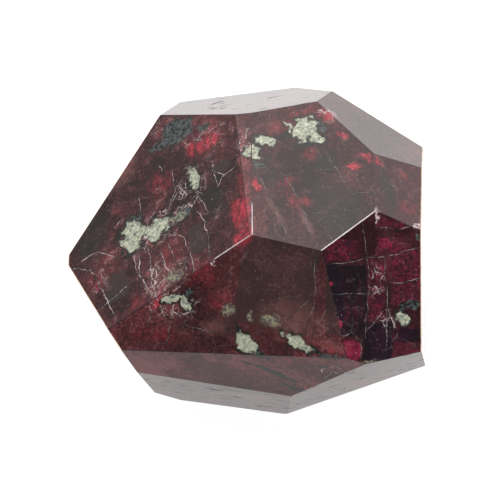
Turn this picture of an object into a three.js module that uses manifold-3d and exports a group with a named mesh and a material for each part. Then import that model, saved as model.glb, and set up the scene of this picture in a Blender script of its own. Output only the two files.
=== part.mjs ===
// Garnet crystal, in millimetres, +Z up, standing on the flat opposite its top face.
//
// One grown crystal with the blocky, many-sided habit of garnet, its faces ground and polished flat.
// The rough is a plain block. Every face is one flat cut across it, given the way a stone cutter
// writes it down: the heading it looks towards (degrees round from +X to +Y), how steeply it looks
// up (degrees, 90 is level and facing up), and its reach from the centre of the crystal.

import * as THREE from "three";
import { mergeVertices } from "three/addons/utils/BufferGeometryUtils.js";
import Module from "manifold-3d";

// Driving dimensions.
const ROUGH_EDGE = 90;
const BASE_REACH = 24;

// The underside narrows to the base by a plain ring of equal faces.
const FOOT_FACES = 5;
const FOOT_FIRST_HEADING = -94;
const FOOT_CLIMB = -45;
const FOOT_REACH = 25;

// Surface of the polished crystal.
const GARNET_COLOUR = 0x4a1a20;
const GARNET_ROUGHNESS = 0.12;
const GARNET_METALNESS = 0;

// The faces round the top of the crystal.
const UPPER_FACES = [
  { name: "top", heading: 170, climb: 80, reach: 20.2 },
  { name: "left_slope", heading: 180, climb: 55, reach: 17 },
  { name: "left_slope_bevel", heading: 176, climb: 67.5, reach: 18.9 },
  { name: "front_slope", heading: -122, climb: 50, reach: 21.2 },
  { name: "right_front_slope", heading: -65, climb: 60, reach: 27.5 },
  { name: "right_slope", heading: 5, climb: 68, reach: 28 },
  { name: "right_back_slope", heading: 50, climb: 55, reach: 26 },
  { name: "back_slope", heading: 105, climb: 44, reach: 21 },
];

// The steep faces round its waist.
const WAIST_FACES = [
  { name: "front_band", heading: -100, climb: -5, reach: 21.5 },
  { name: "right_wall", heading: -2, climb: 4, reach: 24.7 },
  { name: "back_right_wall", heading: 55, climb: 5, reach: 20 },
  { name: "back_wall", heading: 90, climb: 10, reach: 20.7 },
  { name: "back_left_wall", heading: 146, climb: 5, reach: 19.8 },
  { name: "front_left_wall", heading: -150, climb: -15, reach: 22.5 },
  { name: "front_left_under", heading: -100, climb: -20, reach: 20.5 },
  { name: "front_right_under", heading: -75, climb: -20, reach: 22.4 },
  { name: "front_right_foot", heading: -45, climb: -40, reach: 24 },
];

// Small flats where corners have been knocked or rubbed off.
const WORN_CORNERS = [
  { name: "left_tip_wear", heading: 180, climb: 5, reach: 25.5 },
  { name: "upper_right_chip", heading: -25, climb: 76, reach: 27.35 },
];

const wasm = await Module();
wasm.setup();

// The closed solid that a geometry bounds.
function solidFrom(geometry) {
  const bare = geometry.clone();
  bare.deleteAttribute("normal");
  bare.deleteAttribute("uv");
  const merged = mergeVertices(bare);
  return new wasm.Manifold(
    new wasm.Mesh({
      numProp: 3,
      vertProperties: new Float32Array(merged.attributes.position.array),
      triVerts: new Uint32Array(merged.index.array),
    }),
  );
}

// The flat-shaded geometry of a solid.
function geometryFrom(solid) {
  const mesh = solid.getMesh();
  const indexed = new THREE.BufferGeometry();
  indexed.setAttribute("position", new THREE.BufferAttribute(mesh.vertProperties, 3));
  indexed.setIndex(new THREE.BufferAttribute(mesh.triVerts, 1));
  const flat = indexed.toNonIndexed();
  flat.computeVertexNormals();
  return flat;
}

// The direction that a face looks in.
function outwardNormal({ heading, climb }) {
  const round = THREE.MathUtils.degToRad(heading);
  const up = THREE.MathUtils.degToRad(climb);
  return new THREE.Vector3(
    Math.cos(up) * Math.cos(round),
    Math.cos(up) * Math.sin(round),
    Math.sin(up),
  );
}

// The base, and the ring of faces that lean in to meet it.
function footFaces() {
  const faces = [{ name: "base", heading: 0, climb: -90, reach: BASE_REACH }];
  for (let i = 0; i < FOOT_FACES; i += 1) {
    const heading = FOOT_FIRST_HEADING + (i * 360) / FOOT_FACES;
    faces.push({ name: `foot_${i + 1}`, heading, climb: FOOT_CLIMB, reach: FOOT_REACH });
  }
  return faces;
}

// Grinds one face: what lies further out than its reach is cut away.
function grind(solid, face) {
  const inward = outwardNormal(face).negate();
  return solid.trimByPlane(inward.toArray(), -face.reach);
}

// The crystal, with the middle of its box's base at the origin.
function garnetCrystal() {
  const rough = new THREE.BoxGeometry(ROUGH_EDGE, ROUGH_EDGE, ROUGH_EDGE);
  const faces = [...UPPER_FACES, ...WAIST_FACES, ...WORN_CORNERS, ...footFaces()];
  const ground = faces.reduce(grind, solidFrom(rough));
  const material = new THREE.MeshStandardMaterial({
    color: GARNET_COLOUR,
    roughness: GARNET_ROUGHNESS,
    metalness: GARNET_METALNESS,
  });
  const crystal = new THREE.Mesh(geometryFrom(ground), material);
  crystal.name = "garnet_crystal";
  crystal.geometry.computeBoundingBox();
  const box = crystal.geometry.boundingBox;
  const middle = box.getCenter(new THREE.Vector3());
  crystal.position.set(-middle.x, -middle.y, -box.min.z);
  return crystal;
}

const group = new THREE.Group();
group.add(garnetCrystal());

export default group;
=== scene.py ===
"""Looks of the garnet crystal: worn polished body, clouded wine-red stone, grown-in pale mineral."""

import math
from copy import copy
from typing import NamedTuple

import bmesh
import bpy
from mathutils import Matrix, Vector


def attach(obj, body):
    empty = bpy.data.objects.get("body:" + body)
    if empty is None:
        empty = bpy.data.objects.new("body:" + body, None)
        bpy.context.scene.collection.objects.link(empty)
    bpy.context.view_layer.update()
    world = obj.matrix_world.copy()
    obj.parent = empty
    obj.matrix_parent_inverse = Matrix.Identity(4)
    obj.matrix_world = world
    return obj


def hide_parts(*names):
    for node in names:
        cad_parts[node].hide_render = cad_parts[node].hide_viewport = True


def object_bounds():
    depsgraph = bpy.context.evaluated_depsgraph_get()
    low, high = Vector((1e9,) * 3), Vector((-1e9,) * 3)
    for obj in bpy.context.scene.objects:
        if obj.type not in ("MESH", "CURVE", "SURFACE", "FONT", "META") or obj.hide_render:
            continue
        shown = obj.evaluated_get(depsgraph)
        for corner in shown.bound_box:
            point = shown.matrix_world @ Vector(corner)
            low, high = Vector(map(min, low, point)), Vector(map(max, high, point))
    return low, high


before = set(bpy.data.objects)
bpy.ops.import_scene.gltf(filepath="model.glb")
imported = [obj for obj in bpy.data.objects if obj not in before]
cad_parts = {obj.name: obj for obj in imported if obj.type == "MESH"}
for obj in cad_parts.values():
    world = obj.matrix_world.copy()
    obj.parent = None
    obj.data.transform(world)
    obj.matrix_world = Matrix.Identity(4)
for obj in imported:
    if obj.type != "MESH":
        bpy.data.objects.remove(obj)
CAD_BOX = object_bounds()

bl_info = {
    "name": "Garnet Crystal",
    "version": (1, 0, 0),
    "blender": (4, 5, 0),
    "location": "View3D > Sidebar > Garnet",
    "description": "Builds the finish of a polished garnet crystal and the studio it stands in",
    "category": "Object",
}

CRYSTAL_NODE = "garnet_crystal"
BODY = "root"
MM = 0.001

# Where each face looks: heading round from +X to +Y and climb above level, in degrees.
FACES = {
    "top": (170, 80),
    "left_slope": (180, 55),
    "bevel": (176, 67.5),
    "front_slope": (-122, 50),
    "right_front_slope": (-65, 60),
    "right_slope": (5, 68),
    "right_back_slope": (50, 55),
    "back_slope": (105, 44),
    "front_band": (-100, -5),
    "front_left_under": (-100, -20),
    "front_right_under": (-75, -20),
    "right_wall": (-2, 4),
    "back_right_wall": (55, 5),
    "back_wall": (90, 10),
    "back_left_wall": (146, 5),
    "front_left_wall": (-150, -15),
    "upper_right_chip": (-25, 76),
}


class Finish(NamedTuple):
    """How one face of the stone differs from the common run of it. Each value is a strength."""

    clearness: float = 0.0
    pitting: float = 0.3
    tone: float = -0.05
    fractured: float = 0.3
    shine: float = 0.3
    purple: float = 0.0
    veins: float = 0.9
    cream: float = 0.8
    mottling: float = 0.7
    panels: float = 0.9
    coat: float = 0.0
    flecked: float = 1.0


class Rim(NamedTuple):
    """Where a mark ends, in its own half sizes: whole below inner, and gone beyond outer.

    rough is how far its rim is bitten, and a boxed mark has straight sides.
    """

    inner: float
    outer: float
    rough: float = 0.0
    boxed: bool = False


FINISHES = {
    "left_slope": Finish(pitting=0.15, fractured=1.0, shine=0.42, veins=1.0, cream=0.6),
    "bevel": Finish(pitting=0.15, tone=0.15, fractured=0.8, shine=0.4),
    "top": Finish(pitting=0.1, tone=0.0, fractured=0.1, shine=0.42, veins=0.3, mottling=0.4),
    "front_slope": Finish(
        clearness=0.15,
        pitting=0.1,
        tone=0.13,
        fractured=0.2,
        shine=0.42,
        veins=0.35,
        cream=0.6,
        panels=0.72,
        mottling=0.25,
    ),
    "right_front_slope": Finish(
        clearness=0.75, pitting=0.1, tone=-0.1, shine=0.34, purple=0.3, veins=0.55
    ),
    "right_slope": Finish(pitting=0.1, tone=0.0, fractured=0.2, shine=0.48, purple=0.1, mottling=0.5),
    "right_back_slope": Finish(pitting=0.2, fractured=0.05, shine=0.9, coat=0.15),
    "back_slope": Finish(pitting=0.7, fractured=0.05, shine=1.0, coat=0.48),
    "front_band": Finish(
        pitting=0.4, tone=0.22, fractured=0.05, shine=0.04, mottling=0.25, flecked=0.15
    ),
    "front_left_under": Finish(pitting=1.0, fractured=0.0, shine=0.01),
    "front_right_under": Finish(pitting=1.0, fractured=0.0, shine=0.01),
    "upper_right_chip": Finish(tone=0.3, fractured=0.5, shine=0.42),
    "right_wall": Finish(pitting=0.5, fractured=0.0, shine=0.15),
}

# Faces with too many marks for one material are cut into this many strips across.
STRIPS = {"left_slope": 3}

# Marks: place across and up the face, from -1 to 1 of its half size, then length and width in mm
# and the turn in degrees.
PALE_MINERAL = {
    "left_slope": [
        (-0.27, -0.15, 5.0, 4.2, 80),
        (-0.02, -0.17, 4.6, 3.3, 20),
        (0.4, 0.2, 3.8, 1.6, 110),
    ],
    "front_slope": [
        (-0.5, -0.13, 1.7, 0.9, 20),
        (-0.42, -0.08, 2.0, 0.9, 0),
        (-0.33, -0.2, 1.9, 1.3, -40),
        (0.17, -0.8, 4.2, 2.3, -40),
        (0.6, -0.75, 5.0, 1.6, -28),
    ],
    "top": [
        (-1.0, 0.42, 2.3, 2.2, 40),
        (-0.93, 0.33, 2.2, 0.9, -35),
        (-0.75, 0.53, 3.4, 1.6, -20),
        (-0.14, 0.63, 4.2, 3.5, 75),
        (0.08, 0.5, 2.6, 1.5, -25),
        (-0.38, 0.71, 2.2, 0.45, -40),
    ],
    "right_front_slope": [(0.61, -0.4, 2.3, 1.5, -30)],
    "back_wall": [(-0.4, 0.3, 5.0, 3.0, 30), (-0.15, 0.15, 3.2, 2.0, -20), (0.5, -0.35, 3.4, 2.2, 60)],
    "back_left_wall": [(0.1, 0.35, 4.4, 2.6, -30), (-0.3, -0.4, 2.6, 1.8, 20)],
    "back_right_wall": [(0.0, 0.2, 3.8, 2.4, 70)],
    "right_wall": [(-0.2, 0.25, 4.0, 2.6, 30), (0.25, -0.35, 2.6, 1.8, -40)],
    "front_left_wall": [(0.2, 0.2, 3.8, 2.4, 20), (-0.35, -0.3, 2.4, 1.6, -50)],
}
DULL_MINERAL = {
    "left_slope": [(0.2, -0.13, 3.4, 1.6, 20), (0.2, -0.7, 3.0, 1.6, 0), (0.36, 0.3, 3.0, 1.4, 120)],
    "front_slope": [
        (0.02, -0.24, 2.3, 2.0, 40),
        (0.38, -0.4, 2.8, 1.4, -10),
        (0.2, -0.34, 1.4, 0.9, 90),
    ],
    "right_front_slope": [(-0.05, -0.97, 3.0, 0.8, 10)],
}
DARK_MINERAL = {
    "left_slope": [
        (0.2, 0.77, 5.4, 5.0, 20),
        (0.0, 0.68, 3.2, 1.4, 0),
        (0.5, 0.7, 1.8, 1.2, 10),
        (0.27, -0.1, 3.2, 1.8, 15),
        (-0.25, 0.02, 3.0, 1.0, 10),
    ],
    "front_slope": [
        (-0.3, 0.0, 1.6, 1.2, 30),
        (0.27, -0.93, 2.4, 1.0, -30),
        (0.85, -0.97, 5.0, 0.7, 0),
    ],
    "top": [(0.14, 0.64, 1.9, 1.5, -50), (-0.9, 0.22, 2.0, 0.8, -30)],
    "right_front_slope": [(0.75, -0.22, 3.0, 1.2, 15), (0.95, 0.66, 1.4, 0.8, -70)],
    "front_band": [
        (0.28, -0.1, 7.5, 1.4, -35),
        (0.43, -0.6, 4.6, 1.3, -30),
        (0.08, 0.1, 4.0, 0.6, -20),
        (0.2, 0.45, 3.0, 0.8, -10),
        (0.64, 0.5, 2.8, 1.0, 0),
    ],
    "back_wall": [(0.1, 0.7, 4.6, 3.0, 10), (0.55, -0.15, 2.6, 1.2, 40)],
    "back_left_wall": [(0.4, -0.1, 3.6, 2.6, 60)],
    "front_left_wall": [(-0.1, 0.65, 3.4, 1.8, 0)],
}
SHADED = {
    "left_slope": [(-0.75, 0.0, 6.0, 9.0, 0), (0.62, -0.1, 4.0, 7.0, 20)],
    "top": [(-0.74, 0.15, 7.0, 2.4, -72), (0.17, 0.2, 6.0, 3.4, -60), (0.35, -0.45, 12.0, 7.0, -70)],
    "right_slope": [(-0.5, 0.0, 8.0, 2.4, -80)],
    "front_slope": [(0.02, -0.5, 2.6, 2.2, 0), (-0.75, 0.05, 4.0, 4.0, 20)],
}
RED_GLOW = {
    "bevel": [(0.0, -0.6, 5.0, 2.2, 90), (0.3, -0.9, 3.0, 2.4, 90)],
    "left_slope": [
        (0.87, -0.3, 5.0, 2.5, 95),
        (0.94, -0.55, 3.4, 2.4, 35),
        (0.52, 0.52, 5.4, 2.6, 10),
        (0.36, 0.52, 3.2, 1.8, 100),
        (0.0, -0.9, 3.2, 1.4, 20),
    ],
    "front_slope": [(0.12, 0.96, 3.4, 2.8, 0), (0.72, -0.97, 6.0, 0.6, 0)],
    "top": [
        (-0.92, -0.05, 3.0, 0.9, -72),
        (0.22, 0.8, 2.6, 2.2, 0),
        (0.5, 0.5, 3.0, 0.8, -35),
        (0.66, 0.07, 2.8, 1.1, -10),
        (0.97, 0.15, 4.6, 1.4, -28),
    ],
    "back_wall": [(0.3, 0.25, 6.0, 3.4, 100), (-0.5, -0.4, 4.0, 2.2, 20)],
    "back_left_wall": [(-0.35, 0.2, 5.0, 2.6, 80)],
    "back_right_wall": [(0.2, -0.4, 4.6, 2.4, 60)],
    "right_wall": [(0.0, -0.1, 5.4, 2.8, 70), (-0.5, -0.4, 3.4, 2.0, 20)],
    "front_left_wall": [(0.45, -0.3, 4.0, 2.4, 30)],
}
DIM_GLOW = {
    "left_slope": [(0.02, 0.28, 5.4, 5.0, 70), (-0.2, -0.84, 4.0, 3.6, 0), (0.15, -0.5, 5.0, 5.0, 0)],
    "bevel": [(0.0, 0.0, 16.0, 2.0, 90)],
    "front_slope": [
        (-0.22, 0.38, 6.4, 5.4, -20),
        (-0.05, -0.1, 4.0, 3.0, 0),
        (-0.6, -0.7, 8.0, 2.6, 0),
        (0.86, -0.8, 4.8, 1.5, -20),
    ],
    "top": [
        (-0.35, -0.3, 6.0, 2.4, -65),
        (-0.4, -0.05, 3.4, 2.0, 10),
        (0.0, 0.3, 3.6, 3.0, 0),
        (-0.5, 0.7, 5.0, 2.4, 10),
        (-0.15, 0.88, 5.0, 1.6, 10),
        (-0.17, -0.33, 3.4, 2.0, 0),
    ],
    "right_slope": [(0.4, -0.4, 3.4, 2.4, -10), (0.1, 0.55, 3.0, 1.2, -25)],
    "front_band": [(0.4, 0.55, 3.4, 2.0, 0)],
}
HAZE = {
    "left_slope": [(0.1, -0.68, 7.6, 7.0, 0), (-0.45, 0.55, 6.0, 6.0, 0)],
    "bevel": [(0.0, 0.4, 9.0, 1.6, 90)],
    "front_slope": [
        (0.55, -0.35, 11.0, 6.0, -10),
        (-0.1, -0.55, 5.0, 3.0, 10),
        (0.88, -0.78, 5.4, 1.6, -20),
        (0.9, -0.8, 4.0, 1.4, -20),
    ],
    "top": [(-0.6, -0.45, 8.0, 1.0, -66), (-0.12, -0.6, 7.0, 1.0, -68), (0.32, 0.78, 3.0, 2.4, -30)],
}
MAGENTA_GLOW = {
    "right_front_slope": [
        (-0.6, 0.5, 4.6, 3.2, 0),
        (0.27, 0.55, 2.8, 2.8, 0),
        (0.73, 0.3, 4.6, 5.6, 0),
        (0.1, -0.05, 2.6, 8.6, 0),
        (0.64, -0.1, 4.0, 2.8, 0),
        (0.4, 0.85, 5.0, 1.6, 0),
        (0.8, -0.88, 4.4, 1.3, 10),
    ],
}
BRIGHT_MAGENTA = {
    "right_front_slope": [
        (-0.4, -0.82, 3.6, 3.3, -20),
        (-0.67, -0.48, 1.1, 1.7, 0),
        (-0.84, 0.05, 1.3, 0.6, 0),
        (0.28, 0.6, 2.0, 1.6, 0),
        (0.8, -0.93, 4.0, 0.8, 10),
    ],
}
FRACTURED_ZONE = {
    "left_slope": [(0.1, -0.68, 8.0, 7.6, 0), (0.35, 0.1, 5.0, 8.0, -20), (0.0, -0.15, 10.0, 6.0, 15)],
    "bevel": [(0.2, 0.45, 3.0, 6.0, 0)],
    "top": [(0.25, 0.8, 3.4, 3.0, 0)],
    "front_slope": [(-0.45, -0.2, 8.0, 4.0, 0)],
    "right_front_slope": [(0.1, 0.1, 2.4, 5.0, 0), (0.35, -0.4, 3.0, 3.0, 0)],
    "back_wall": [(0.1, 0.0, 9.0, 7.0, 30)],
    "back_left_wall": [(0.1, -0.3, 6.0, 6.0, 0)],
    "front_left_wall": [(-0.1, 0.1, 6.0, 5.0, 0)],
}
# Chips, partly the chipped stone and partly painted glints of light on it, in the crack colour.
CHIP_GLINTS = {
    "right_front_slope": [(0.93, 0.83, 1.4, 1.0, 20), (0.1, 0.93, 2.2, 0.45, 80)],
    "left_slope": [(-0.99, -0.42, 1.6, 1.4, 0), (0.6, -0.7, 0.9, 0.9, 0)],
}
DARK_PANEL = {
    "left_slope": [(0.44, -0.4, 2.6, 4.6, 15), (0.71, 0.23, 2.2, 2.0, 40), (-0.45, -0.6, 4.0, 4.4, 10)],
    "front_slope": [(0.43, 0.3, 11.0, 14.0, -10)],
    "right_front_slope": [
        (-0.5, -0.16, 5.6, 9.6, 0),
        (0.13, -0.7, 4.2, 5.4, 0),
        (0.72, -0.62, 3.6, 1.8, 0),
    ],
}

# Cracks: the turning points of each, across and up the face.
CRACKS = {
    "left_slope": [
        [(0.15, 0.37), (0.19, 0.17), (0.12, 0.03)],
        [(0.24, 0.17), (0.12, 0.0)],
        [(0.45, 0.0), (0.56, -0.18)],
        [(0.43, -0.14), (0.52, -0.26), (0.56, -0.44), (0.57, -0.62)],
        [(0.59, 0.31), (0.63, 0.2), (0.73, 0.13), (0.83, 0.17)],
        [(0.15, -0.26), (0.29, -0.35), (0.34, -0.5), (0.42, -0.72)],
        [(-0.2, -0.37), (-0.19, -0.59), (-0.02, -0.84)],
        [(-0.08, -0.44), (-0.06, -0.66), (0.01, -0.9)],
        [(0.05, -0.5), (0.2, -0.7)],
        [(-0.98, -0.24), (-0.75, -0.34), (-0.68, -0.43), (-0.42, -0.98)],
        [(-0.63, -0.77), (-0.26, -0.6)],
        [(-0.89, -0.23), (-0.68, -0.18), (-0.47, -0.3)],
        [(0.0, 0.48), (0.04, 0.42)],
        [(0.03, -0.4), (0.12, -0.62)],
        [(-0.1, -0.34), (-0.07, -0.45)],
        [(-0.26, -0.32), (-0.22, -0.52), (-0.08, -0.8)],
        [(0.12, -0.36), (0.2, -0.55)],
        [(0.42, -0.72), (0.5, -0.8)],
        [(0.73, 0.13), (0.66, 0.05), (0.58, 0.3)],
        [(-0.5, 0.0), (-0.38, 0.05)],
        [(-0.22, 0.24), (-0.19, 0.07)],
    ],
    "right_front_slope": [
        [(-0.17, 0.88), (-0.09, 0.42), (-0.04, 0.14), (-0.07, -0.12), (-0.14, -0.7)],
        [(0.28, 0.39), (0.28, 0.14), (0.34, -0.33), (0.27, -0.8)],
        [(-0.82, 0.31), (-0.47, 0.34), (-0.12, 0.39), (0.3, 0.41), (0.65, 0.5), (1.0, 0.55)],
        [(-1.0, -0.05), (-0.74, -0.08), (0.0, -0.07), (0.26, -0.02)],
        [(0.4, 0.07), (0.73, 0.09), (1.0, 0.14)],
        [(0.26, -0.31), (-0.12, -0.56)],
        [(0.14, 0.8), (0.55, 0.77), (0.82, 0.83)],
        [(-0.58, -0.62), (-0.4, -0.58), (-0.22, -0.7), (-0.2, -0.9)],
    ],
    "front_slope": [
        [(0.74, 0.8), (0.74, -0.07), (0.7, -0.3)],
        [(0.6, -0.21), (0.7, -0.03)],
        [(0.76, -0.45), (0.83, -0.17)],
        [(-0.32, -0.55), (-0.08, -0.64)],
        [(-0.63, -0.29), (-0.65, -0.57)],
        [(-0.46, -0.27), (-0.5, -0.85)],
        [(-0.31, -0.39), (-0.35, -0.54)],
    ],
    "top": [
        [(-0.96, 0.16), (-0.71, -0.21), (-0.37, -0.86)],
        [(-0.41, 0.0), (-0.21, -0.35), (0.0, -0.9)],
        [(0.16, 0.37), (0.62, -0.28), (0.87, -0.3)],
        [(-1.06, 0.11), (-0.91, 0.13), (-0.93, 0.24)],
        [(0.02, 0.4), (0.14, 0.25)],
    ],
    "front_band": [
        [(0.62, 0.1), (0.67, 0.5), (0.78, 0.6), (0.87, 0.3)],
        [(0.69, 0.1), (0.73, 0.35), (0.8, 0.3)],
    ],
    "back_wall": [
        [(-0.8, 0.5), (-0.3, 0.2), (-0.1, -0.4), (0.1, -0.9)],
        [(-0.2, 0.0), (0.4, 0.1), (0.9, 0.4)],
    ],
    "back_left_wall": [[(-0.6, 0.6), (0.0, 0.1), (0.2, -0.6)], [(0.0, 0.1), (0.6, 0.3)]],
    "back_right_wall": [[(-0.3, 0.8), (-0.1, 0.1), (0.2, -0.7)]],
    "right_wall": [[(-0.6, -0.5), (-0.1, -0.1), (0.1, 0.6)], [(-0.1, -0.1), (0.6, -0.3)]],
    "front_left_wall": [[(-0.7, 0.2), (0.0, 0.3), (0.6, -0.1)]],
}

# Marks, in mm: how wide a crack is, how far its stretches run into each other, how far a mark goes
# into the stone and out of it, and how far its rim may wander.
CRACK_WIDTH = 0.11
CRACK_OVERLAP = 0.7
MARK_DEPTH = 2.4
RAGGED_REACH = 0.6

# How the marks of each kind end.
FRACTURED_RIM = Rim(0.6, 1.2)
DARK_PANEL_RIM = Rim(0.94, 1.02, boxed=True)
SHADED_RIM = Rim(0.5, 1.25)
HAZE_RIM = Rim(0.2, 1.2)
DIM_GLOW_RIM = Rim(0.2, 1.2)
RED_GLOW_RIM = Rim(0.5, 1.15)
MAGENTA_GLOW_RIM = Rim(0.75, 1.05, boxed=True)
BRIGHT_MAGENTA_RIM = Rim(0.8, 1.0, rough=0.2)
DARK_MINERAL_RIM = Rim(0.8, 1.15, rough=0.7)
DULL_MINERAL_RIM = Rim(0.4, 1.2, rough=0.8)
PALE_MINERAL_RIM = Rim(0.78, 1.04, rough=0.75)
DARK_RING_RIM = Rim(1.15, 1.45, rough=1.3)
CHIP_GLINT_RIM = Rim(0.6, 1.1, rough=0.5)
EDGE_RIM = Rim(0.85, 1.05)

# Patterns in the stone, in waves or cells to a millimetre.
SLOW_ROLL = 0.1
CLEAR_PATCHES = 0.18
CLOUDS = 0.2
PANELS = 0.2
WIDE_WEB = 0.3
SPECK_PATCHES = 0.35
FINE_WEB = 0.5
SMALL_PANELS = 0.55
WORN_STRETCHES = 0.6
MOTTLE = 0.8
BITES = 0.8
THREADS = 1.2
CLUMPS = 1.3
SPECKS = 1.5
FIBRES = 1.8
GRAIN = 2.6

# Patterns drawn out into streaks: how often they change along X, Y and Z.
STREAKS = (1.8, 0.4, 0.4)
FINE_STREAKS = (2.4, 0.12, 0.12)
COMBED = (0.5, 2.2, 1.4)
DRAGGED = (0.3, 0.7, 1.6)
FIBRE_TURN = (0.3, 0.2, -0.5)

# Places pushed about before a pattern reads them: scale and detail of the push, and its reach in
# mm. The first two are for panels and long cracks, the third for webs and the last for rims.
BENT = (0.25, 1.0, 3.0)
WANDERING = (0.7, 1.0, 0.8)
SPLINTERED = (0.3, 1.0, 1.6)
RAGGED = (1.2, 4.0, 1.5)

# How strongly each layer covers what lies under it.
ROSE_COVER = 0.85
SHADE_COVER = 0.6
DIM_GLOW_COVER = 0.42
SPARK_COVER = 0.5
HOT_COVER = 0.6
GAP_COVER = 0.6
SPECK_COVER = 0.75
CRACK_SHADE_COVER = 0.45
CHIP_GLINT_COVER = 0.8
PIT_COVER = 0.75

# Edges: flats across each, the faces that meet in a frosted one, and those in front and on top,
# which climb more steeply than any wall.
EDGE_STEPS = 2
STEEPEST_WALL = 20
FROSTED_EDGES = [
    {"left_slope", "front_slope"},
    {"top", "right_front_slope"},
    {"bevel", "top"},
    {"front_slope", "front_band"},
]
FRONT_FACES = {"front_band", "front_left_under", "front_right_under"}
UPPER_FACES = {name for name, (_, climb) in FACES.items() if climb > STEEPEST_WALL}

# Where the frosted edges are bright with whitening and painted highlight, and where dark, as marks.
FROST_AND_HIGHLIGHT_STRETCHES = {
    "left_slope": [(0.83, -0.63, 6.8, 3.0, 14)],
    "top": [(0.52, -0.8, 11.2, 5.0, 45), (-1.06, -0.5, 6.5, 2.4, 92)],
}
DARK_STRETCHES = {
    "left_slope": [(-0.2, -0.95, 18.0, 8.0, 18)],
    "front_slope": [(-0.2, -1.0, 30.0, 3.0, 0)],
}

# Kinds of edge, as they are noted on the rubbed faces. Faces that aren't rubbed hold 0.
QUIET = 1.0
# The warm kind is worn as well, and its colour is painted light: a warm glow in the edge.
WARM = 2.0
# The frosted kind is whitened, and in its bright stretches it is also painted a highlight.
FROSTED = 3.0

# Limits: the area that a rubbed face stays under, how near corners are that become one, the turn
# that a flat may hide, the turn that makes an edge, and the cosine of facing the same way.
SMALL_FLAT = 12 * MM * MM
JOIN_REACH = 0.01 * MM
FLAT_TURN = math.radians(0.5)
SHARP_TURN = math.radians(4)
SAME_WAY = 0.9999

# The stone as an optical material: its index, the tint of its gloss, and the colour and density of
# its depth, per metre.
STONE_IOR = 1.78
WARM_SHINE = (1.0, 0.965, 0.94, 1.0)
DEPTH_COLOUR = (0.84, 0.25, 0.34, 1.0)
DEPTH_DENSITY = 900.0

# Polish: the slow roll of the surface, how rough the clear and the pitted stone are, how much
# shine a pit and an edge keep, the pitting from which pits are dull as well as rough, and how much
# of an edge's colour shows where it isn't worn.
ROLL_STRENGTH = 0.2
ROLL_HEIGHT = 0.03 * MM
CLEAR_ROUGHNESS = 0.04
PIT_ROUGHNESS = 0.8
PIT_SHINE = 0.1
EDGE_SHINE = 0.3
DULL_PITS_FROM = 0.3
UNWORN_EDGE = 0.4

WHITE = (1.0, 1.0, 1.0, 1.0)

# The floor is a lit white table: how much light it throws back, and how much it gives of its own.
FLOOR_WHITE = 0.25
FLOOR_GLOW = 0.98

# Light all round: the way to its bright side, its strength on the dim side towards the viewer, and
# what the sides and the bright side add to that. The overhead light is turned a little off plumb.
BRIGHT_WAY = Vector((0.0, 0.85, 0.5)).normalized()
DIM_SIDE = 0.09
SIDES_ADD = 0.16
BRIGHT_SIDE_ADDS = 1.0
OVERHEAD_TURN = (math.radians(-7), math.radians(3), 0)

# The camera: how far its aim is from the middle of the crystal's box, its sensor's width in mm,
# and the nearest and furthest that it sees.
AIM_SHIFT = Vector((-0.2, 1.0, 0.2)) * MM
SENSOR_WIDTH = 36
NEAREST_SEEN = 0.01
FURTHEST_SEEN = 20


class CrystalSizes(bpy.types.PropertyGroup):
    """Widths of the crystal's worn edges."""

    edge_wear: bpy.props.FloatProperty(
        name="Edge wear",
        description="Width of the rubbed flat along most edges",
        default=0.1 * MM,
        unit="LENGTH",
    )
    outer_edge_wear: bpy.props.FloatProperty(
        name="Outer edge wear",
        description="Width of the flat where an upper face meets a wall",
        default=0.2 * MM,
        unit="LENGTH",
    )
    bright_edge_wear: bpy.props.FloatProperty(
        name="Bright edge wear",
        description="Width of the flat along the frosted edges",
        default=0.15 * MM,
        unit="LENGTH",
    )


def colour_setting(name, description, default):
    """A colour that a user can change."""
    return bpy.props.FloatVectorProperty(
        name=name, description=description, default=default, subtype="COLOR", size=3
    )


class CrystalColours(bpy.types.PropertyGroup):
    """Colours of the stone and of what grew in it."""

    dark_wine: colour_setting("Dark wine", "Darkest clouded stone", (0.018, 0.006, 0.007))
    wine: colour_setting("Wine", "Common clouded stone", (0.065, 0.018, 0.02))
    umber: colour_setting("Umber", "Dark panels of the clouded stone", (0.036, 0.024, 0.023))
    rose: colour_setting("Rose", "Lighter, fractured stone", (0.19, 0.055, 0.06))
    red: colour_setting("Red", "Bright red glow inside the stone", (0.38, 0.024, 0.045))
    spark: colour_setting("Spark", "Brightest grains of the red glow", (0.75, 0.12, 0.13))
    magenta: colour_setting("Magenta", "Glow in the clear stone", (0.11, 0.008, 0.028))
    bright_magenta: colour_setting(
        "Bright magenta", "Brightest glow in the clear stone", (0.24, 0.01, 0.042)
    )
    ink: colour_setting("Ink", "Blackest stone", (0.009, 0.005, 0.012))
    pale: colour_setting("Pale mineral", "Cream-green mineral in the stone", (0.31, 0.33, 0.25))
    cream: colour_setting("Cream mineral", "Lightest grains of the pale mineral", (0.66, 0.64, 0.5))
    # Dark mineral colour, also laid on as the painted shade along the cracks.
    moss_and_shade: colour_setting("Dark mineral", "Darkest green mineral", (0.012, 0.016, 0.014))
    slate: colour_setting(
        "Grey-green mineral", "Lighter grains of the dark mineral", (0.075, 0.09, 0.092)
    )
    # Painted light: a warm glow laid on as the colour of the edges above the walls.
    rubbed: colour_setting("Rubbed edge", "Warm light in the edges above the walls", (0.6, 0.36, 0.22))
    # Whitened stone, and also a painted highlight along the bright stretches of the frosted edges.
    frosted: colour_setting("Frosted edge", "Whitened stone along an edge", (0.6, 0.53, 0.54))
    haze: colour_setting("Haze", "Milky pink-brown stone", (0.2, 0.085, 0.08))
    dull: colour_setting("Dull mineral", "Olive mineral just under the surface", (0.27, 0.25, 0.16))
    crack: colour_setting("Crack", "Light thrown back by a healed crack", (0.62, 0.5, 0.5))


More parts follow.
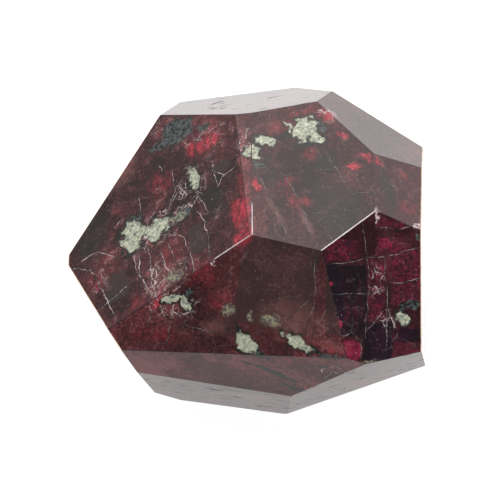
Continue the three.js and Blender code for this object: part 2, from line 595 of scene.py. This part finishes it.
class StudioSettings(bpy.types.PropertyGroup):
    """Camera, floor and light."""

    elevation: bpy.props.FloatProperty(
        name="Camera elevation",
        description="How far the camera looks down",
        default=math.radians(60),
        subtype="ANGLE",
    )
    distance: bpy.props.FloatProperty(
        name="Camera distance", description="From the aim point", default=0.5, unit="LENGTH"
    )
    lens: bpy.props.FloatProperty(name="Lens", description="Focal length in mm", default=255.7)
    floor_edge: bpy.props.FloatProperty(
        name="Floor edge", description="Side of the square floor", default=3.0, unit="LENGTH"
    )
    sun_strength: bpy.props.FloatProperty(
        name="Overhead light", description="Strength of the overhead light", default=3.0
    )
    sun_width: bpy.props.FloatProperty(
        name="Overhead softness",
        description="Angle that the overhead light fills",
        default=math.radians(44),
        subtype="ANGLE",
    )


class Signal:
    """A value in a node tree. Arithmetic on it adds the Math nodes."""

    def __init__(self, recipe, socket):
        self.recipe = recipe
        self.socket = socket

    def math(self, operation, other=0.0):
        return self.recipe.node("ShaderNodeMath", {"operation": operation}, {0: self, 1: other})

    def __add__(self, other):
        return self.math("ADD", other)

    __radd__ = __add__

    def __sub__(self, other):
        return self.math("SUBTRACT", other)

    def __rsub__(self, other):
        return self.recipe.node("ShaderNodeMath", {"operation": "SUBTRACT"}, {0: other, 1: self})

    def __mul__(self, other):
        return self.math("MULTIPLY", other)

    __rmul__ = __mul__

    def least(self, other):
        return self.math("MINIMUM", other)

    def most(self, other):
        return self.math("MAXIMUM", other)

    def rise(self, low, high):
        """0 below low, 1 above high, smooth between."""
        return self.recipe.node(
            "ShaderNodeMapRange",
            {"interpolation_type": "SMOOTHSTEP"},
            {"Value": self, "From Min": low, "From Max": high},
        )

    def fall(self, low, high):
        """1 below low, 0 above high, smooth between."""
        return 1.0 - self.rise(low, high)


class Recipe:
    """A node tree under construction."""

    def __init__(self, tree):
        self.tree = tree
        self.tree.nodes.clear()

    def node(self, kind, settings=None, inputs=None, output=0):
        made = self.tree.nodes.new(kind)
        for name, value in (settings or {}).items():
            setattr(made, name, value)
        for name, value in (inputs or {}).items():
            if isinstance(value, Signal):
                self.tree.links.new(value.socket, made.inputs[name])
            else:
                made.inputs[name].default_value = value
        return Signal(self, made.outputs[output]) if made.outputs else made

    def principled(self, values):
        return self.node("ShaderNodeBsdfPrincipled", None, values)

    def blend(self, factor, first, second):
        """first where factor is 0 and second where it is 1, as colours."""
        return self.node(
            "ShaderNodeMix",
            {"data_type": "RGBA"},
            {0: factor, 6: colour(first), 7: colour(second)},
            output=2,
        )

    def vector(self, operation, first, second=(0.0, 0.0, 0.0), output=0):
        return self.node("ShaderNodeVectorMath", {"operation": operation}, {0: first, 1: second}, output)

    def scaled(self, vector, by):
        return self.node("ShaderNodeVectorMath", {"operation": "SCALE"}, {0: vector, "Scale": by})

    def noise(self, place, scale, detail=3.0, output=0):
        """Noise with that many waves to a millimetre."""
        return self.node(
            "ShaderNodeTexNoise", None, {"Vector": place, "Scale": scale, "Detail": detail}, output
        )

    def pushed(self, place, scale, detail, reach):
        """Places pushed about by noise of that scale, by up to half the reach in millimetres."""
        push = self.vector("SUBTRACT", self.noise(place, scale, detail, output="Color"), (0.5, 0.5, 0.5))
        return self.vector("ADD", place, self.scaled(push, reach))

    def drawn(self, place, stretch, turn=(0.0, 0.0, 0.0)):
        """Places stretched and turned, so that a pattern on them is streaked."""
        return self.node(
            "ShaderNodeMapping", None, {"Vector": place, "Rotation": turn, "Scale": stretch}
        )

    def cells(self, place, scale, feature="F1", output="Distance"):
        return self.node(
            "ShaderNodeTexVoronoi", {"feature": feature}, {"Vector": place, "Scale": scale}, output
        )

    def panels(self, place, scale):
        """A value of its own for each cell."""
        return self.node(
            "ShaderNodeSeparateColor", None, {"Color": self.cells(place, scale, output="Color")}
        )

    def edges(self, place, scale):
        """Distance to the nearest edge of a cell."""
        return self.cells(place, scale, "DISTANCE_TO_EDGE")


def colour(value):
    """A colour property as a node wants it, with its alpha."""
    return value if isinstance(value, Signal) else (*value, 1.0)


class Face:
    """One flat of the crystal: its middle, its directions and its half sizes."""

    def __init__(self, normal, corners):
        self.normal = normal
        self.across = (Vector((1, 0, 0)) - normal.x * normal).normalized()
        self.up = normal.cross(self.across)
        spans = []
        for axis in (self.across, self.up):
            reach = [corner.dot(axis) for corner in corners]
            spans.append((min(reach), max(reach)))
        (left, right), (low, high) = spans
        self.half_across = (right - left) / 2
        self.half_up = (high - low) / 2
        level = corners[0].dot(normal)
        self.middle = self.across * (left + right) / 2 + self.up * (low + high) / 2 + normal * level

    def strip(self, index, count):
        """One of some equal strips of this flat, counted along across."""
        strip = copy(self)
        strip.half_across = self.half_across / count
        step = self.half_across * (2 * index + 1 - count) / count
        strip.middle = self.middle + self.across * step
        return strip

    def point(self, across, up):
        return self.middle + self.across * across * self.half_across + self.up * up * self.half_up

    def near(self, point, reach):
        """Whether a mark of that reach about the point touches this flat."""
        away = point - self.middle
        return (
            abs(away.dot(self.normal)) < MARK_DEPTH / 2 * MM
            and abs(away.dot(self.across)) < self.half_across + reach
            and abs(away.dot(self.up)) < self.half_up + reach
        )

    def turned(self, degrees):
        """Directions along and across a mark that is turned on this face, with the face's own."""
        angle = math.radians(degrees)
        along = self.across * math.cos(angle) + self.up * math.sin(angle)
        beside = self.normal.cross(along)
        return Matrix((along, beside, self.normal)).transposed()


def direction(heading, climb):
    """The way that a heading and a climb in degrees point."""
    turn = math.radians(heading)
    lift = math.radians(climb)
    return Vector((math.cos(lift) * math.cos(turn), math.cos(lift) * math.sin(turn), math.sin(lift)))


def merged_crystal():
    """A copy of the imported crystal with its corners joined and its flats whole."""
    shape = bmesh.new()
    shape.from_mesh(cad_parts[CRYSTAL_NODE].data)
    bmesh.ops.remove_doubles(shape, verts=shape.verts, dist=JOIN_REACH)
    bmesh.ops.dissolve_limit(shape, angle_limit=FLAT_TURN, verts=shape.verts, edges=shape.edges)
    return shape


def find_faces(shape):
    """The named flats, each the one that looks most nearly the way its name says."""
    found = {}
    for name, (heading, climb) in FACES.items():
        looks = direction(heading, climb)
        best = max(shape.faces, key=lambda face: face.normal.dot(looks))
        found[name] = Face(best.normal.copy(), [corner.co.copy() for corner in best.verts])
    return found


def rub_edges(shape, edges, width):
    """Rubs narrow flats along some edges. Gives the new faces, without the flats that they cut."""
    before = set(shape.faces)
    bmesh.ops.bevel(
        shape,
        geom=edges,
        offset=width,
        offset_type="WIDTH",
        affect="EDGES",
        segments=EDGE_STEPS,
        profile=0.5,
        material=-1,
        clamp_overlap=False,
    )
    return [face for face in set(shape.faces) - before if face.calc_area() < SMALL_FLAT]


def wear_of(edge, faces):
    """How an edge has worn: warm with painted glow where an upper face meets a wall, else frosted or
    quiet.
    """
    sides = {
        name
        for name in faces
        for face in edge.link_faces
        if face.normal.dot(faces[name].normal) > SAME_WAY
    }
    if len(sides & UPPER_FACES) == 1 and not sides & FRONT_FACES:
        return WARM
    return FROSTED if sides in FROSTED_EDGES else QUIET


def wear_crystal(shape, faces, sizes):
    """Rubs every edge of the crystal, and notes on each new face how its edge has worn."""
    wear = shape.faces.layers.float.new("wear")
    widths = {
        WARM: sizes.outer_edge_wear,
        FROSTED: sizes.bright_edge_wear,
        QUIET: sizes.edge_wear,
    }
    for kind, width in widths.items():
        sharp = [edge for edge in shape.edges if edge.calc_face_angle() > SHARP_TURN]
        bare = [edge for edge in sharp if not any(face[wear] for face in edge.link_faces)]
        chosen = [edge for edge in bare if wear_of(edge, faces) == kind]
        for face in rub_edges(shape, chosen, width):
            if not face[wear]:
                face[wear] = kind
    bmesh.ops.remove_doubles(shape, verts=shape.verts, dist=JOIN_REACH)


def cut_strips(shape, faces):
    """Cuts the flats that have too many marks into strips."""
    for name, count in STRIPS.items():
        flat = faces[name]
        for index in range(1, count):
            line = flat.middle + flat.across * flat.half_across * (2 * index / count - 1)
            level = [face for face in shape.faces if face.normal.dot(flat.normal) > SAME_WAY]
            widest = max(level, key=lambda face: face.calc_area())
            cut = [widest, *widest.edges, *widest.verts]
            bmesh.ops.bisect_plane(shape, geom=cut, plane_co=line, plane_no=flat.across)


def dress_faces(mesh, faces, colours):
    """Gives every named flat a stone of its own, the others a plain one, and the edges theirs."""
    patches = [("common", None)]
    for name, flat in faces.items():
        count = STRIPS.get(name, 1)
        patches += [(name, flat.strip(index, count)) for index in range(count)]
    for name, patch in patches:
        mesh.materials.append(stone_material(name, patch, faces, colours))
    mesh.materials.append(edge_material("garnet_edge_quiet", colours.dark_wine))
    # The warm edges take painted light, a warm glow, as their colour.
    mesh.materials.append(edge_material("garnet_edge_warm", colours.rubbed))
    mesh.materials.append(frost_and_highlight_edge_material(faces, colours))
    wear = mesh.attributes["wear"].data
    for polygon in mesh.polygons:
        kind = int(wear[polygon.index].value)
        if kind:
            polygon.material_index = len(patches) + kind - 1
            continue
        for index, (name, patch) in enumerate(patches):
            if patch and patch.normal.dot(polygon.normal) > SAME_WAY:
                off = (polygon.center - patch.middle).dot(patch.across)
                if abs(off) < patch.half_across:
                    polygon.material_index = index


def new_recipe(name):
    """A new material, its node tree, and places on the object in millimetres."""
    material = bpy.data.materials.new(name)
    material.use_nodes = True
    recipe = Recipe(material.node_tree)
    place = recipe.scaled(recipe.node("ShaderNodeTexCoord", output="Object"), 1 / MM)
    return material, recipe, place


def dull_skin(recipe, shade, worn):
    """Stone that has lost its polish."""
    values = {
        "Base Color": shade,
        "Roughness": worn * 0.2 + 0.2,
        "IOR": STONE_IOR,
        "Specular IOR Level": EDGE_SHINE,
    }
    recipe.node("ShaderNodeOutputMaterial", None, {"Surface": recipe.principled(values)})


def edge_material(name, tint):
    """Stone rubbed dull along an edge, more in some places than in others; a warm tint is painted glow.
    """
    material, recipe, place = new_recipe(name)
    worn = recipe.noise(place, WORN_STRETCHES, 4.0).rise(0.3, 0.55)
    shade = recipe.blend(worn, [part * UNWORN_EDGE for part in tint], tint)
    dull_skin(recipe, shade, worn)
    return material


def frost_and_highlight_edge_material(faces, colours):
    """Stone whitened and painted a highlight along parts of an edge, black along others and wine-red
    between.
    """
    material, recipe, place = new_recipe("garnet_edge_frost_and_highlight")
    worn = recipe.noise(place, WORN_STRETCHES, 4.0).rise(0.35, 0.6) * 0.3 + 0.7

    def along(stretches):
        """1 in the stretches of every face and 0 outside."""
        marks = [mark for flat in faces.values() for mark in reaching(flat, faces, stretches)]
        return nearest(recipe, place, marks).fall(EDGE_RIM.inner, EDGE_RIM.outer)

    shade = recipe.blend(along(DARK_STRETCHES), colours.wine, colours.ink)
    shade = recipe.blend(worn * along(FROST_AND_HIGHLIGHT_STRETCHES), shade, colours.frosted)
    dull_skin(recipe, shade, worn)
    return material


def reaching(patch, faces, marks):
    """The marks that reach a patch, each with the flat that it was placed on."""
    found = []
    for owner, rows in marks.items():
        for across, up, *shape in rows:
            middle = faces[owner].point(across, up)
            if patch and patch.near(middle, (shape[0] / 2 + RAGGED_REACH) * MM):
                found.append((faces[owner], middle, shape))
    return found


def mark_distance(recipe, place, face, middle, length, width, turn, boxed):
    """1 on the rim of an oval or straight-sided mark, 0 in its middle. place is in millimetres."""
    local = recipe.node(
        "ShaderNodeMapping",
        {"vector_type": "TEXTURE"},
        {
            "Vector": place,
            "Location": middle / MM,
            "Rotation": face.turned(turn).to_euler(),
            "Scale": (length / 2, width / 2, MARK_DEPTH / 2),
        },
    )
    if not boxed:
        return recipe.vector("LENGTH", local, output="Value")
    sides = recipe.vector("ABSOLUTE", local)
    parts = [recipe.node("ShaderNodeSeparateXYZ", None, {0: sides}, output=axis) for axis in range(3)]
    return parts[0].most(parts[1]).most(parts[2])


def nearest(recipe, place, marks, boxed=False):
    """Distance to the nearest of some marks, in their own half sizes, or None if there are none."""
    distance = None
    for face, middle, shape in marks:
        to_mark = mark_distance(recipe, place, face, middle, *shape, boxed)
        distance = to_mark if distance is None else distance.least(to_mark)
    return distance


def crack_marks(name, patch, faces):
    """The straight stretches of the cracks that reach a patch, as long thin marks."""
    found = []
    for points in CRACKS.get(name, []):
        face = faces[name]
        corners = [face.point(*point) for point in points]
        for start, end in zip(corners, corners[1:]):
            run = end - start
            turn = math.degrees(math.atan2(run.dot(face.up), run.dot(face.across)))
            length = run.length / MM + CRACK_OVERLAP
            middle = (start + end) / 2
            if patch.near(middle, (length / 2 + RAGGED_REACH) * MM):
                found.append((face, middle, (length, CRACK_WIDTH, turn)))
    return found


class Stone:
    """The stone of one patch of the crystal, whose colour is laid on layer by layer."""

    def __init__(self, name, patch, faces, colours):
        self.material, recipe, place = new_recipe("garnet_" + name)
        self.recipe = recipe
        self.place = place
        self.name = name
        self.patch = patch
        self.faces = faces
        self.colours = colours
        self.finish = FINISHES.get(name, Finish())
        self.bent = recipe.pushed(place, *BENT)
        self.wandering = recipe.pushed(place, *WANDERING)
        self.ragged = recipe.pushed(place, *RAGGED)
        self.bite = (recipe.noise(place, BITES, 6.0) - 0.5) * 2.0
        self.mottle = recipe.noise(self.ragged, MOTTLE, 7.0)
        self.grain = recipe.noise(place, GRAIN, 4.0)
        self.small_panel = recipe.panels(self.bent, SMALL_PANELS)
        loose = recipe.noise(place, CLOUDS, 2.0).rise(0.52, 0.68) * self.finish.fractured * 0.5
        self.fractured = loose.most(self.covered(FRACTURED_ZONE, self.ragged, FRACTURED_RIM))
        self.shade = colours.dark_wine

    def covered(self, marks, where, rim):
        """1 inside the marks of a group and 0 outside."""
        distance = nearest(self.recipe, where, reaching(self.patch, self.faces, marks), rim.boxed)
        if distance is None:
            return 0.0
        return (distance + self.bite * rim.rough).fall(rim.inner, rim.outer)

    def lay(self, cover, tint):
        """Lays a colour over the stone where cover is 1."""
        self.shade = self.recipe.blend(cover, self.shade, tint)

    def cloud(self):
        """Broad tone, crazed panels, and a mottle that is stronger where the stone is fractured."""
        fractured = self.fractured
        broad = self.recipe.noise(self.place, SLOW_ROLL, 2.0)
        panel = self.recipe.panels(self.bent, PANELS)
        tone = (broad - 0.5) + (panel - 0.5) * 0.26
        tone = tone + (self.small_panel - 0.5) * (fractured * 0.4 + 0.1)
        tone = tone + (self.mottle - 0.5) * (fractured * 1.4 + self.finish.mottling)
        tone = tone + (self.grain - 0.5) * 1.1 + (self.finish.tone + 0.5)
        self.lay(tone.rise(0.2, 0.62), self.colours.wine)
        self.lay(tone.rise(0.6, 1.0) * ROSE_COVER, self.colours.rose)
        self.lay(self.finish.purple, self.colours.magenta)

    def darken(self):
        """Dark panels with straight sides, dark clouds and milky haze."""
        panel_colour = self.colours.ink if self.finish.purple else self.colours.umber
        panel = self.covered(DARK_PANEL, self.wandering, DARK_PANEL_RIM)
        self.lay(panel * self.finish.panels, panel_colour)
        shaded = self.covered(SHADED, self.ragged, SHADED_RIM)
        self.lay(shaded * SHADE_COVER, self.colours.moss_and_shade)
        haze = self.covered(HAZE, self.ragged, HAZE_RIM)
        self.lay(haze * (self.mottle.rise(0.2, 0.8) * 0.3 + 0.32), self.colours.haze)

    def glow(self):
        """Faint glows here and there, and the strong ones. Gives where the strong ones are."""
        recipe = self.recipe
        colours = self.colours
        streak = recipe.noise(recipe.drawn(self.wandering, STREAKS), 1.0, 5.0).rise(0.4, 0.6)
        speckle = (self.mottle * 0.6 + self.grain * 0.4).rise(0.4, 0.58)
        speckle = speckle * (self.small_panel * 0.6 + 0.4)
        faint = recipe.noise(self.bent, CLOUDS, 2.0).rise(0.54, 0.7) * (self.finish.fractured * 0.3)
        dim = faint.most(self.covered(DIM_GLOW, self.ragged, DIM_GLOW_RIM) * DIM_GLOW_COVER)
        self.lay(dim * (streak * 0.5 + speckle * 0.5), colours.red)
        red = self.covered(RED_GLOW, self.ragged, RED_GLOW_RIM)
        red = red * (streak * 0.5 + speckle * 0.4 + 0.12)
        self.lay(red, colours.red)
        self.lay(self.grain.rise(0.55, 0.68) * red * SPARK_COVER, colours.spark)
        return self.magenta_glow(streak, speckle) if self.finish.purple else red

    def magenta_glow(self, streak, speckle):
        """Panels lit magenta, with hot grains and black gaps. Gives where they are."""
        recipe = self.recipe
        colours = self.colours
        grain = self.grain
        fine_streak = recipe.noise(recipe.drawn(self.place, FINE_STREAKS), 1.0, 3.0).rise(0.48, 0.62)
        lit = self.covered(MAGENTA_GLOW, self.wandering, MAGENTA_GLOW_RIM)
        magenta = (fine_streak * 0.3).most(lit)
        self.lay(magenta * (speckle * 0.6 + streak * 0.35), colours.magenta)
        bright = self.covered(BRIGHT_MAGENTA, self.wandering, BRIGHT_MAGENTA_RIM)
        bright = bright * (speckle * 0.6 + 0.4)
        self.lay(bright, colours.bright_magenta)
        hot = grain.rise(0.54, 0.66) * self.mottle.rise(0.5, 0.6) * magenta
        self.lay(hot * HOT_COVER, colours.bright_magenta)
        self.lay(hot * grain.rise(0.6, 0.7) * bright, colours.crack)
        self.lay(grain.fall(0.4, 0.52) * magenta * GAP_COVER, colours.ink)
        return (magenta * 0.8).most(bright)

    def crack(self):
        """Cracks long and in webs, painted shade along them, and bright specks. Gives where they are."""
        recipe = self.recipe
        fractured = self.fractured
        splintered = recipe.pushed(self.place, *SPLINTERED)
        wide = recipe.edges(self.bent, WIDE_WEB).fall(0.004, 0.02)
        fine = recipe.edges(splintered, FINE_WEB)
        thread = recipe.edges(splintered, THREADS).fall(0.01, 0.06)
        gap = self.mottle.rise(0.44, 0.56)
        crack = (fine.fall(0.008, 0.036) * 0.85).most(thread * 0.35) * fractured * gap
        crack = crack.most(wide * (fractured * 0.45 + 0.06) * self.mottle.rise(0.38, 0.55))
        # Painted shade: a dark band along the cracks, in the dark mineral colour.
        crack_shade = fine.fall(0.05, 0.16) * fractured * gap
        long = nearest(recipe, self.wandering, crack_marks(self.name, self.patch, self.faces))
        if long is not None:
            crack = crack.most(long.fall(0.35, 1.15) * self.finish.veins)
            crack_shade = crack_shade.most(long.fall(1.4, 3.4))
        broken = (self.grain * 0.5 + self.mottle * 0.5).rise(0.42, 0.56)
        crack = crack * (broken * 0.85 + 0.15)
        strewn = recipe.noise(self.place, SPECK_PATCHES, 1.0).rise(0.46, 0.6) * 0.4
        speck = recipe.cells(self.place, SPECKS).fall(0.06, 0.15) * strewn.most(fractured)
        crack = crack.most(speck * SPECK_COVER)
        self.lay(crack_shade * CRACK_SHADE_COVER, self.colours.moss_and_shade)
        self.lay(crack, self.colours.crack)
        return crack

    def grow_mineral(self):
        """The dark mineral, the dull, the pale with its dark ring, and chips with painted glints. Gives
        where they are.
        """
        recipe = self.recipe
        colours = self.colours
        ragged = self.ragged
        flecks = self.grain * 0.55 + recipe.noise(self.place, CLUMPS, 6.0) * 0.45
        combed = recipe.noise(recipe.drawn(ragged, COMBED, FIBRE_TURN), FIBRES, 6.0)
        fibre = combed * 0.35 + flecks * 0.65
        ring = self.covered(PALE_MINERAL, ragged, DARK_RING_RIM) * flecks.rise(0.42, 0.5)
        self.lay(ring, colours.moss_and_shade)
        dark = self.covered(DARK_MINERAL, ragged, DARK_MINERAL_RIM)
        dark = dark * (flecks.rise(0.36, 0.46) * 0.25 + 0.7)
        light_fleck = flecks.rise(0.41, 0.6) * self.finish.flecked
        self.lay(dark, recipe.blend(light_fleck, colours.moss_and_shade, colours.slate))
        dull = self.covered(DULL_MINERAL, ragged, DULL_MINERAL_RIM)
        dull_grain = recipe.blend(flecks.rise(0.42, 0.56), colours.slate, colours.dull)
        self.lay(dull * (flecks.rise(0.36, 0.5) * 0.6 + 0.25), dull_grain)
        pale = self.covered(PALE_MINERAL, ragged, PALE_MINERAL_RIM)
        pale_grain = recipe.blend(fibre.rise(0.36, 0.48), colours.slate, colours.pale)
        creamy = fibre.rise(0.48, 0.6) * self.finish.cream
        self.lay(pale, recipe.blend(creamy, pale_grain, colours.cream))
        # Painted glints on the chips, in the colour of light thrown back.
        chip_glint = self.covered(CHIP_GLINTS, ragged, CHIP_GLINT_RIM)
        self.lay(chip_glint * flecks.rise(0.44, 0.54) * CHIP_GLINT_COVER, colours.crack)
        return ring.most(dark).most(dull).most(pale).most(chip_glint)

    def polish(self, glow, crack, grown):
        """The skin: polished, see-through where it is clear and unmarked, and dull in its pits."""
        recipe = self.recipe
        finish = self.finish
        drag = recipe.noise(recipe.drawn(self.place, DRAGGED), 1.0, 4.0)
        pit = drag.rise(0.63, 0.67) * finish.pitting
        relief = recipe.noise(self.place, SLOW_ROLL, 1.0) - pit * 0.5
        roll = {"Strength": ROLL_STRENGTH, "Distance": ROLL_HEIGHT, "Height": relief}
        surface = recipe.node("ShaderNodeBump", None, roll)
        polished = {
            "Base Color": self.shade,
            "Roughness": self.mottle * 0.06 + 0.05 + pit * 0.3,
            "IOR": STONE_IOR,
            "Specular IOR Level": finish.shine,
            "Specular Tint": WARM_SHINE,
            "Coat Weight": finish.coat,
            "Normal": surface,
        }
        skin = recipe.principled(polished)
        if finish.clearness:
            see_through = {
                "Base Color": WHITE,
                "Roughness": CLEAR_ROUGHNESS,
                "IOR": STONE_IOR,
                "Transmission Weight": 1.0,
                "Normal": surface,
            }
            clear = recipe.principled(see_through)
            unmarked = 1.0 - glow.most(crack).most(grown)
            patch = recipe.noise(self.bent, CLEAR_PATCHES, 2.0).rise(0.38, 0.56) * finish.clearness
            cloud = 1.0 - patch * unmarked * 0.8
            skin = recipe.node("ShaderNodeMixShader", None, {0: cloud, 1: clear, 2: skin})
        if finish.pitting > DULL_PITS_FROM:
            dull = {
                "Base Color": colour(self.colours.dark_wine),
                "Roughness": PIT_ROUGHNESS,
                "Specular IOR Level": PIT_SHINE,
            }
            pitted = recipe.principled(dull)
            skin = recipe.node("ShaderNodeMixShader", None, {0: pit * PIT_COVER, 1: skin, 2: pitted})
        return skin


def stone_material(name, patch, faces, colours):
    """Clouded wine-red stone with clear parts, cracks, glows and grown-in mineral."""
    stone = Stone(name, patch, faces, colours)
    stone.cloud()
    stone.darken()
    glow = stone.glow()
    crack = stone.crack()
    grown = stone.grow_mineral()
    skin = stone.polish(glow, crack, grown)
    depth = stone.recipe.node(
        "ShaderNodeVolumeAbsorption", None, {"Color": DEPTH_COLOUR, "Density": DEPTH_DENSITY}
    )
    stone.recipe.node("ShaderNodeOutputMaterial", None, {"Surface": skin, "Volume": depth})
    return stone.material


class GARNET_OT_crystal(bpy.types.Operator):
    """Build the worn, polished body of the crystal"""

    bl_idname = "garnet.crystal"
    bl_label = "Crystal"

    def execute(self, context):
        sizes = context.scene.garnet_sizes
        shape = merged_crystal()
        faces = find_faces(shape)
        cut_strips(shape, faces)
        wear_crystal(shape, faces, sizes)
        mesh = bpy.data.meshes.new("garnet_body")
        shape.to_mesh(mesh)
        shape.free()
        dress_faces(mesh, faces, context.scene.garnet_colours)
        body = bpy.data.objects.new("garnet_body", mesh)
        context.scene.collection.objects.link(body)
        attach(body, BODY)
        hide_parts(CRYSTAL_NODE)
        return {"FINISHED"}


def pale_floor(scene, edge):
    """A square white table that gives a little light of its own."""
    shape = bmesh.new()
    bmesh.ops.create_grid(shape, x_segments=1, y_segments=1, size=edge / 2)
    mesh = bpy.data.meshes.new("floor")
    shape.to_mesh(mesh)
    shape.free()
    material = bpy.data.materials.new("floor_white")
    material.use_nodes = True
    recipe = Recipe(material.node_tree)
    white = recipe.node("ShaderNodeBsdfDiffuse", None, {"Color": (*[FLOOR_WHITE] * 3, 1.0)})
    glow = recipe.node("ShaderNodeEmission", None, {"Color": WHITE, "Strength": FLOOR_GLOW})
    lit = recipe.node("ShaderNodeAddShader", None, {0: white, 1: glow})
    recipe.node("ShaderNodeOutputMaterial", None, {"Surface": lit})
    mesh.materials.append(material)
    floor = bpy.data.objects.new("floor", mesh)
    scene.collection.objects.link(floor)


def soft_surroundings(scene):
    """Light from behind and above, falling off to a dim side towards the viewer."""
    world = bpy.data.worlds.new("studio")
    world.use_nodes = True
    scene.world = world
    recipe = Recipe(world.node_tree)
    looks = recipe.node("ShaderNodeTexCoord", output="Generated")
    lean = recipe.vector("DOT_PRODUCT", looks, BRIGHT_WAY, output="Value")
    strength = DIM_SIDE + lean.rise(-0.1, 0.6) * SIDES_ADD + lean.rise(0.5, 0.85) * BRIGHT_SIDE_ADDS
    light = recipe.node("ShaderNodeBackground", None, {"Color": WHITE, "Strength": strength})
    recipe.node("ShaderNodeOutputWorld", None, {"Surface": light})


def overhead_light(scene, strength, width):
    """A wide, soft light almost straight overhead."""
    lamp = bpy.data.lights.new("overhead", "SUN")
    lamp.energy = strength
    lamp.angle = width
    sun = bpy.data.objects.new("overhead", lamp)
    sun.rotation_euler = OVERHEAD_TURN
    scene.collection.objects.link(sun)


def studio_camera(scene, studio):
    """The camera, in front of the crystal and looking down on it."""
    low, high = CAD_BOX
    aim = (low + high) / 2 + AIM_SHIFT
    back = direction(-90, math.degrees(studio.elevation))
    lens = bpy.data.cameras.new("camera")
    lens.lens = studio.lens
    lens.sensor_width = SENSOR_WIDTH
    lens.clip_start = NEAREST_SEEN
    lens.clip_end = FURTHEST_SEEN
    camera = bpy.data.objects.new("camera", lens)
    camera.location = aim + back * studio.distance
    camera.rotation_euler = (-back).to_track_quat("-Z", "Y").to_euler()
    scene.collection.objects.link(camera)
    scene.camera = camera


class GARNET_OT_studio(bpy.types.Operator):
    """Build the floor, the light and the camera"""

    bl_idname = "garnet.studio"
    bl_label = "Studio"

    def execute(self, context):
        scene = context.scene
        studio = scene.garnet_studio
        pale_floor(scene, studio.floor_edge)
        soft_surroundings(scene)
        overhead_light(scene, studio.sun_strength, studio.sun_width)
        studio_camera(scene, studio)
        scene.view_settings.view_transform = "Standard"
        return {"FINISHED"}


class GARNET_PT_panel(bpy.types.Panel):
    """Lists the garnet's settings and steps"""

    bl_idname = "GARNET_PT_panel"
    bl_label = "Garnet Crystal"
    bl_space_type = "VIEW_3D"
    bl_region_type = "UI"
    bl_category = "Garnet"

    def draw(self, context):
        for group in GROUPS:
            settings = getattr(context.scene, group)
            for name in settings.bl_rna.properties.keys():
                if name not in ("rna_type", "name"):
                    self.layout.prop(settings, name)
        for step in (GARNET_OT_studio, GARNET_OT_crystal):
            self.layout.operator(step.bl_idname)


GROUPS = {
    "garnet_sizes": CrystalSizes,
    "garnet_colours": CrystalColours,
    "garnet_studio": StudioSettings,
}
CLASSES = (
    CrystalSizes,
    CrystalColours,
    StudioSettings,
    GARNET_OT_crystal,
    GARNET_OT_studio,
    GARNET_PT_panel,
)


def register():
    for cls in CLASSES:
        bpy.utils.register_class(cls)
    for name, group in GROUPS.items():
        setattr(bpy.types.Scene, name, bpy.props.PointerProperty(type=group))


def unregister():
    for name in GROUPS:
        delattr(bpy.types.Scene, name)
    for cls in reversed(CLASSES):
        bpy.utils.unregister_class(cls)


def main():
    register()
    bpy.ops.garnet.studio()
    bpy.ops.garnet.crystal()


if __name__ == "__main__":
    main()
